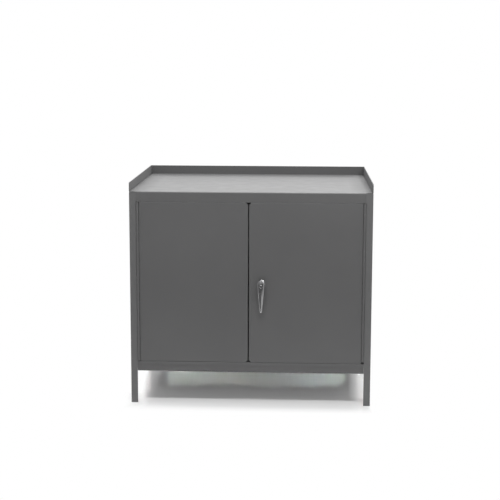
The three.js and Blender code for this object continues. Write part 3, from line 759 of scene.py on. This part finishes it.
def cut_out(piece, points, faces, smooth_angle=None):
    """Takes a closed shape out of a piece, which is then shaded flat or smooth up to an angle."""
    cutter_mesh = bpy.data.meshes.new("cutter")
    cutter_mesh.from_pydata(points.reshape(-1, 3).tolist(), [], faces.tolist())
    merge_doubles(cutter_mesh)
    cutter = bpy.data.objects.new("cutter", cutter_mesh)
    bpy.context.scene.collection.objects.link(cutter)
    modifier = piece.modifiers.new("cut", "BOOLEAN")
    modifier.operation = "DIFFERENCE"
    modifier.solver = "EXACT"
    modifier.object = cutter
    graph = bpy.context.evaluated_depsgraph_get()
    cut_mesh = bpy.data.meshes.new_from_object(piece.evaluated_get(graph))
    piece.modifiers.clear()
    old = piece.data
    piece.data = cut_mesh
    bpy.data.meshes.remove(old)
    bpy.data.objects.remove(cutter)
    bpy.data.meshes.remove(cutter_mesh)
    if not cut_mesh.polygons:
        raise RuntimeError(f"the cut left nothing of {piece.name}")
    merge_doubles(cut_mesh)
    cut_mesh.polygons.foreach_set("use_smooth", np.full(len(cut_mesh.polygons), smooth_angle is not None))
    if smooth_angle is not None:
        cut_mesh.set_sharp_from_angle(angle=smooth_angle)


def round_shape(axis, profile):
    """Round shape about an axis along Y; the profile holds pairs of radius and place on Y."""
    sides = 64
    points = turned_to_back(revolve(profile, sides)) + np.array([axis.x, 0, axis.z])
    return points, grid_faces(len(profile), sides)


def upright_slot(axis, width, length, near, far):
    """Cutter for a slot along Z with half-round ends, carried along Y from near to far."""
    steps = 13
    angle = np.linspace(0, pi, steps)
    half_round = np.stack([np.cos(angle), np.sin(angle)], axis=-1) * width / 2
    upper = half_round + [0, (length - width) / 2]
    return carried(np.concatenate([upper, -upper]) + [axis.x, axis.z], np.array([axis.x, axis.z]), near, far)


def carried(outline, middle, near, far):
    """Closed shape: an outline in X and Z carried along Y from near to far, its ends run in to the middle."""
    ends = np.broadcast_to(middle, outline.shape)
    rings = np.stack([ends, outline, outline, ends])
    depth = np.broadcast_to(np.array([near, near, far, far])[:, None], rings.shape[:2])
    return np.stack([rings[..., 0], depth, rings[..., 1]], axis=-1), grid_faces(*depth.shape)


def corner_wedge(x, z, right, up, clip, near, far):
    """Cutter for the corner at x, z: a right-angled triangle, carried along Y from near to far."""
    corner_x = x + right * np.array([SPARE, -clip - SPARE, SPARE])
    corner_z = z + up * np.array([SPARE, SPARE, -clip - SPARE])
    outline = np.stack([corner_x, corner_z], axis=-1)
    return carried(outline, outline.mean(axis=0), near, far)


class BENCH_OT_paint(Operator):
    """Give the welded cabinet and the doors their powder coat"""

    bl_idname = "bench.paint"
    bl_label = "Paint cabinet and doors"

    def execute(self, context):
        paint = context.scene.bench_paint
        sheets = powder_coat("grey_powder_coat", paint, paint.roughness, 1)[0]
        # The legs' coat is a brighter copy of the sheets' paint: painted light.
        legs = powder_coat("leg_powder_coat", paint, paint.roughness, paint.leg_relief, paint.leg_light_tone)[0]
        coat(PAINTED, sheets)
        coat(LEGS, legs)
        coat(["worktop"], worktop_coat("worktop_powder_coat", paint))
        return {"FINISHED"}


class BENCH_OT_plate(Operator):
    """Give the latch, the hinge pins and the shelf supports their zinc, and the lock its chrome"""

    bl_idname = "bench.plate"
    bl_label = "Plate latch and lock"

    def execute(self, context):
        plating = context.scene.bench_plating
        coat(PLATED, zinc_plate("zinc_plate", plating))
        coat(CHROMED, chrome_plate("chrome_plate", plating))
        return {"FINISHED"}


class BENCH_OT_lever(Operator):
    """Build the cast lever with its ridge, round edges and bored hub"""

    bl_idname = "bench.lever"
    bl_label = "Build lever"

    def execute(self, context):
        lever = context.scene.bench_lever
        axis = middle_of("lock_plug")
        points = lever_points(lever, axis)
        chrome = bpy.data.materials["chrome_plate"]
        piece = new_piece("lever", points, grid_faces(*points.shape[:2]), chrome, "handle")
        face = DOOR_FRONT - lever.reach
        play = 0.0002
        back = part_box("lock_plug")[1].y + play
        radius = lever.bore / 2
        rim = radius + lever.bore_chamfer + SPARE
        chamfer = face + lever.bore_chamfer
        profile = [[0, face - SPARE], [rim, face - SPARE], [radius, chamfer], [radius, back], [0, back]]
        cut_out(piece, *round_shape(axis, profile), CAST_ANGLE)
        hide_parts("handle_lever")
        return {"FINISHED"}


class BENCH_OT_plug(Operator):
    """Build the key plug with its dished face and keyway"""

    bl_idname = "bench.plug"
    bl_label = "Build key plug"

    def execute(self, context):
        lever = context.scene.bench_lever
        low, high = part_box("lock_plug")
        axis = middle_of("lock_plug")
        radius = (high.x - low.x) / 2
        rings, dish_share, edge = 10, 0.92, 0.0005
        share = np.linspace(0, 1, rings)
        dish = np.stack([radius * dish_share * share, low.y + lever.plug_dish * (1 - share**2)], axis=-1)
        profile = [*dish.tolist(), [radius, low.y + edge], [radius, high.y], [0, high.y]]
        points, faces = round_shape(axis, profile)
        chrome = bpy.data.materials["chrome_plate"]
        piece = new_piece("key_plug", points, faces, chrome, "lock_plug")
        slot = upright_slot(axis, lever.key_width, lever.key_length, low.y - SPARE, low.y + lever.key_depth)
        cut_out(piece, *slot, CAST_ANGLE)
        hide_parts("lock_plug")
        return {"FINISHED"}


class BENCH_OT_trim(Operator):
    """Clip the doors' meeting corners and cut back the foot of the right hinge"""

    bl_idname = "bench.trim"
    bl_label = "Trim doors and hinge"

    def execute(self, context):
        trim = context.scene.bench_trim
        for side, right in (("left", 1), ("right", -1)):
            low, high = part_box(f"{side}_door_pan")
            piece = copy_of(f"{side}_door_pan", f"{side}_door_sheet")
            if side == "left":
                points = points_of(piece.data)
                on_edge = points[:, 0] > high.x - trim.edge_width
                points[:, 0] -= trim.edge_lean * on_edge * (high.z - points[:, 2]) / (high.z - low.z)
                set_points(piece.data, points)
            merge_doubles(piece.data)
            meeting = high.x if right > 0 else low.x
            near, far = low.y - SPARE, high.y + SPARE
            for z, up in ((high.z, 1), (low.z, -1)):
                cut_out(piece, *corner_wedge(meeting, z, right, up, trim.corner_clip, near, far))
        for part in ("frame_leaf", "door_leaf", "pin"):
            node = f"right_hinge_{part}"
            mesh = copy_of(node, f"right_{part}").data
            points = points_of(mesh)
            points[:, 2] += trim.hinge_foot * (points[:, 2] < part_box(node)[0].z + SPARE)
            set_points(mesh, points)
        return {"FINISHED"}


class BENCH_OT_rivets(Operator):
    """Set the rivets that hold the straps of rods and bolts inside the doors"""

    bl_idname = "bench.rivets"
    bl_label = "Set rivets"

    def execute(self, context):
        fastener = context.scene.bench_fastener
        zinc = bpy.data.materials["zinc_plate"]
        shape, faces = dome(fastener.rivet_width, fastener.rivet_height, steps=7, sides=20)
        straps = {
            "right_door": ("top_rod_guide", "bottom_rod_guide"),
            "left_door": ("left_top_bolt_bracket", "left_bottom_bolt_bracket"),
        }
        for body, nodes in straps.items():
            places = []
            for node in nodes:
                low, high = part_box(node)
                seat = low.y + fastener.gauge
                middle = (low.z + high.z) / 2
                rise = (high.z - low.z) / 4
                for x in (low.x + fastener.rivet_inset, high.x - fastener.rivet_inset):
                    places += [(x, seat, middle - rise), (x, seat, middle + rise)]
            points, all_faces = copies(shape, faces, places)
            new_piece(f"{body}_rivets", points, all_faces, zinc, body, radians(40))
        return {"FINISHED"}


class BENCH_OT_spot_welds(Operator):
    """Mark the spot welds along the flanges of the door stiffeners"""

    bl_idname = "bench.spot_welds"
    bl_label = "Mark spot welds"

    def execute(self, context):
        fastener = context.scene.bench_fastener
        paint = bpy.data.materials["grey_powder_coat"]
        shape, faces = dome(fastener.weld_width, fastener.weld_height, steps=5, sides=18)
        for body in ("left_door", "right_door"):
            low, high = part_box(f"{body}_stiffener")
            across = np.array([low.x + fastener.weld_inset, high.x - fastener.weld_inset])
            foot, head = low.z + fastener.weld_margin, high.z - fastener.weld_margin
            x, z = np.meshgrid(across, np.linspace(foot, head, fastener.weld_count))
            places = np.stack([x.ravel(), np.full(x.size, low.y + fastener.gauge), z.ravel()], axis=-1)
            points, all_faces = copies(shape, faces, places)
            new_piece(f"{body}_spot_welds", points, all_faces, paint, body, radians(50))
        return {"FINISHED"}


# Stage

def lamp(name, power, place, target, size, beam=pi):
    """Area lamp that looks at a target, with its light kept within a beam."""
    data = bpy.data.lights.new(name, "AREA")
    data.shape = "RECTANGLE"
    data.size, data.size_y = size
    data.energy = power
    data.spread = beam
    light = bpy.data.objects.new(name, data)
    light.location = place
    light.rotation_euler = (Vector(target) - Vector(place)).to_track_quat("-Z", "Y").to_euler()
    bpy.context.scene.collection.objects.link(light)
    return light


def link_light(light, floor, state):
    """Keeps a lamp's light to the floor, INCLUDE, or off it, EXCLUDE; everything still casts shadow in it."""
    group = bpy.data.collections.new(f"{light.name}_receivers")
    group.objects.link(floor)
    group.collection_objects[0].light_linking.link_state = state
    light.light_linking.receiver_collection = group


def flag(name, near, far, behind, height):
    """Upright board on the floor behind the cabinet, from near to far on X; it only casts shadow."""
    mesh = bpy.data.meshes.new(name)
    corners = [[near, behind, 0], [far, behind, 0], [far, behind, height], [near, behind, height]]
    mesh.from_pydata(corners, [], [[0, 1, 2, 3]])
    board = bpy.data.objects.new(name, mesh)
    board.visible_camera = False
    board.visible_diffuse = False
    board.visible_glossy = False
    bpy.context.scene.collection.objects.link(board)


def seen_share(tree):
    """1 for rays that show the background, in the picture or in metal and glass, and 0 for light."""
    path = tree.nodes.new("ShaderNodeLightPath")
    share = path.outputs["Is Camera Ray"]
    for name in ("Is Glossy Ray", "Is Transmission Ray"):
        share = calculated(tree, "MAXIMUM", share, path.outputs[name])
    return share


def white_room(stage):
    """World: white where it is seen, and even room light elsewhere."""
    world = bpy.data.worlds.new("white_room")
    bpy.context.scene.world = world
    world.use_nodes = True
    tree = world.node_tree
    light = tree.nodes["Background"]
    light.inputs["Color"].default_value = (1, 1, 1, 1)
    light.inputs["Strength"].default_value = stage.room_light
    seen = tree.nodes.new("ShaderNodeBackground")
    seen.inputs["Color"].default_value = (1, 1, 1, 1)
    seen.inputs["Strength"].default_value = 1
    mix = tree.nodes.new("ShaderNodeMixShader")
    tree.links.new(seen_share(tree), mix.inputs["Fac"])
    tree.links.new(light.outputs["Background"], mix.inputs[1])
    tree.links.new(seen.outputs["Background"], mix.inputs[2])
    tree.links.new(mix.outputs["Shader"], tree.nodes["World Output"].inputs["Surface"])


def beside_footprint(tree):
    """White share of a floor point: 0 under the cabinet, rising to 1 past its sides, front and back.

    Every edge is a ramp between two distances from a side of the cabinet. The left edge runs aslant, further
    in towards the front, where it gives way to a softer one. A paler strip lies inside the right legs: it is
    painted light, standing in for the light that comes in under the right side.
    """
    low, high = cad_box
    place = object_place(tree)
    slope, lit_strip_share = 0.095, 0.42
    leftward = calculated(tree, "ADD", place["X"], calculated(tree, "MULTIPLY", place["Y"], slope))
    away = calculated(tree, "ABSOLUTE", place["Y"])

    def ramp(value, side, start, end, first=0, last=1, way="SMOOTHSTEP"):
        """From first to last between two distances from a side."""
        return spread(tree, value, first, last, side + start, side + end, way)

    aslant = ramp(leftward, low.x, 0.004, 0.03, 1, 0)
    behind = ramp(place["Y"], low.y, 0.03, 0.16, way="LINEAR")
    left = calculated(tree, "MULTIPLY", aslant, behind)
    outer = ramp(place["X"], low.x, -0.04, 0.02, 1, 0)
    right = ramp(place["X"], high.x, -0.012, 0.008)
    # Painted light: a paler strip on the floor inside the right legs.
    inner = ramp(place["X"], high.x, -0.074, -0.026, 0, lit_strip_share, "LINEAR")
    strip = calculated(tree, "MULTIPLY", inner, ramp(place["Y"], low.y, 0.098, 0.133, way="LINEAR"))
    share = ramp(away, high.y, -0.02, 0.07)
    for side in (left, outer, right, strip):
        share = calculated(tree, "MAXIMUM", share, side)
    return share


def studio_wall(stage):
    """Dim wall round the camera's side, an arc carried upwards, which only metal and gloss show.

    Its glow follows a ramp from left to right, brighter at both ends, and grows upwards on the right.
    """
    reach, wall_height, columns = radians(105), 2.2, 43
    angle, height = np.meshgrid(np.linspace(-reach, reach, columns), [0.0, wall_height], indexing="ij")
    radius = stage.wall_radius
    points = np.stack([radius * np.sin(angle), -radius * np.cos(angle), height], axis=-1)
    mesh = bpy.data.meshes.new("studio_wall")
    mesh.from_pydata(points.reshape(-1, 3).tolist(), [], grid_faces(columns, 2, wrap=False).tolist())
    material, tree, shader = new_material("studio_wall")
    tree.nodes.remove(shader)
    glow = tree.nodes.new("ShaderNodeEmission")
    place = object_place(tree)
    share = spread(tree, place["X"], 0, 1, -radius, radius)
    ramp = tree.nodes.new("ShaderNodeValToRGB")
    stops = ramp.color_ramp.elements
    left, middle, right = ((level, level, level, 1) for level in (0.6, 0.085, 0.36))
    for where, colour in ((0.07, left), (0.10, middle), (0.62, middle), (0.80, right)):
        stops.new(where).color = colour
    stops[0].color = left
    stops[-1].color = right
    tree.links.new(share, ramp.inputs["Fac"])
    foot, head = 0.55, 1.1
    least, most = 0.06, 0.7
    upper = spread(tree, place["Z"], 0, 1, foot, head)
    rightward = spread(tree, place["X"], least, most, -0.3 * radius, 0.5 * radius)
    total = calculated(tree, "ADD", calculated(tree, "MULTIPLY", upper, rightward), ramp.outputs["Color"])
    tree.links.new(total, glow.inputs["Strength"])
    tree.links.new(glow.outputs["Emission"], tree.nodes["Material Output"].inputs["Surface"])
    mesh.materials.append(material)
    wall = bpy.data.objects.new("studio_wall", mesh)
    wall.visible_camera = False
    wall.visible_diffuse = False
    wall.visible_shadow = False
    bpy.context.scene.collection.objects.link(wall)


def floor_material(stage):
    """Matt pale floor that turns plain white away from the cabinet, where it is seen."""
    material, tree, shader = new_material("pale_floor")
    tree.nodes.remove(shader)
    matt = tree.nodes.new("ShaderNodeBsdfDiffuse")
    matt.inputs["Color"].default_value = (*stage.floor_colour, 1)
    white = tree.nodes.new("ShaderNodeEmission")
    share = calculated(tree, "MULTIPLY", beside_footprint(tree), seen_share(tree))
    mix = tree.nodes.new("ShaderNodeMixShader")
    tree.links.new(share, mix.inputs["Fac"])
    tree.links.new(matt.outputs["BSDF"], mix.inputs[1])
    tree.links.new(white.outputs["Emission"], mix.inputs[2])
    tree.links.new(mix.outputs["Shader"], tree.nodes["Material Output"].inputs["Surface"])
    return material


class BENCH_OT_stage(Operator):
    """Set the floor, the white room, the lamps, flags and wall, and the camera"""

    bl_idname = "bench.stage"
    bl_label = "Set stage"

    def execute(self, context):
        stage = context.scene.bench_stage
        context.scene.view_settings.view_transform = "Standard"
        reach = 30
        corners = [[-reach, -reach, 0], [reach, -reach, 0], [reach, reach, 0], [-reach, reach, 0]]
        mesh = bpy.data.meshes.new("floor")
        mesh.from_pydata(corners, [], [[0, 1, 2, 3]])
        mesh.materials.append(floor_material(stage))
        floor = bpy.data.objects.new("floor", mesh)
        context.scene.collection.objects.link(floor)
        white_room(stage)
        middle = (0, 0, 0.3)
        square = (0.9, 0.9)
        lamp("left_lamp", stage.left_power, place=(-1.9, -0.2, 3.3), target=middle, size=square)
        right_lamp = lamp("right_lamp", stage.right_power, place=(1.9, -0.2, 3.3), target=middle, size=square)
        link_light(right_lamp, floor, "EXCLUDE")
        lamp("top_lamp", stage.top_power, place=(0, 1.5, 3.2), target=middle, size=(2.2, 0.8))
        lamp("high_lamp", stage.high_power, place=(0, -1.68, 3.2), target=(0, -0.2, 0.3), size=(1.6, 0.35))
        ahead = (-0.3, -5.2, 2.6)
        front_lamp = lamp("front_lamp", stage.front_power, place=ahead, target=(0, 0, 0.5), size=(3.0, 2.0))
        link_light(front_lamp, floor, "INCLUDE")
        for name, side, edge in (("low_left", -1, stage.left_flag), ("low_right", 1, stage.right_flag)):
            low_lamp = lamp(
                f"{name}_lamp", stage.low_power, place=(0.85 * side, 3.4, 1.15), target=(0.32 * side, 0.1, 0),
                size=(0.06, 0.25), beam=radians(13),
            )
            link_light(low_lamp, floor, "INCLUDE")
            flag(f"{name}_flag", edge * side, cad_box[1].x * side, stage.flag_place, stage.flag_height)
        lamp("back_lamp", stage.back_power, place=(0, 3.0, 2.2), target=(0, 0, 0.8), size=(3.5, 0.8))
        studio_wall(stage)
        data = bpy.data.cameras.new("camera")
        data.sensor_width = 36
        data.lens = stage.lens
        data.shift_y = stage.shift
        camera = bpy.data.objects.new("camera", data)
        camera.location = stage.camera_place
        camera.rotation_euler = stage.camera_turn
        context.scene.collection.objects.link(camera)
        context.scene.camera = camera
        return {"FINISHED"}


OPERATORS = (
    BENCH_OT_paint,
    BENCH_OT_plate,
    BENCH_OT_lever,
    BENCH_OT_plug,
    BENCH_OT_trim,
    BENCH_OT_rivets,
    BENCH_OT_spot_welds,
    BENCH_OT_stage,
)

SETTINGS = {
    "bench_paint": PaintSettings,
    "bench_plating": PlatingSettings,
    "bench_lever": LeverSettings,
    "bench_fastener": FastenerSettings,
    "bench_trim": TrimSettings,
    "bench_stage": StageSettings,
}


class BENCH_PT_sidebar(Panel):
    """Steps that dress the bench cabinet"""

    bl_idname = "BENCH_PT_sidebar"
    bl_label = "Bench Cabinet"
    bl_space_type = "VIEW_3D"
    bl_region_type = "UI"
    bl_category = "Bench Cabinet"

    def draw(self, context):
        for operator in OPERATORS:
            self.layout.operator(operator.bl_idname)


def register():
    for settings in SETTINGS.values():
        bpy.utils.register_class(settings)
    for name, settings in SETTINGS.items():
        setattr(bpy.types.Scene, name, PointerProperty(type=settings))
    for operator in OPERATORS:
        bpy.utils.register_class(operator)
    bpy.utils.register_class(BENCH_PT_sidebar)


def unregister():
    bpy.utils.unregister_class(BENCH_PT_sidebar)
    for operator in reversed(OPERATORS):
        bpy.utils.unregister_class(operator)
    for name in SETTINGS:
        delattr(bpy.types.Scene, name)
    for settings in reversed(list(SETTINGS.values())):
        bpy.utils.unregister_class(settings)


def main():
    register()
    bpy.ops.bench.paint()
    bpy.ops.bench.plate()
    bpy.ops.bench.lever()
    bpy.ops.bench.plug()
    bpy.ops.bench.trim()
    bpy.ops.bench.rivets()
    bpy.ops.bench.spot_welds()
    bpy.ops.bench.stage()


if __name__ == "__main__":
    main()
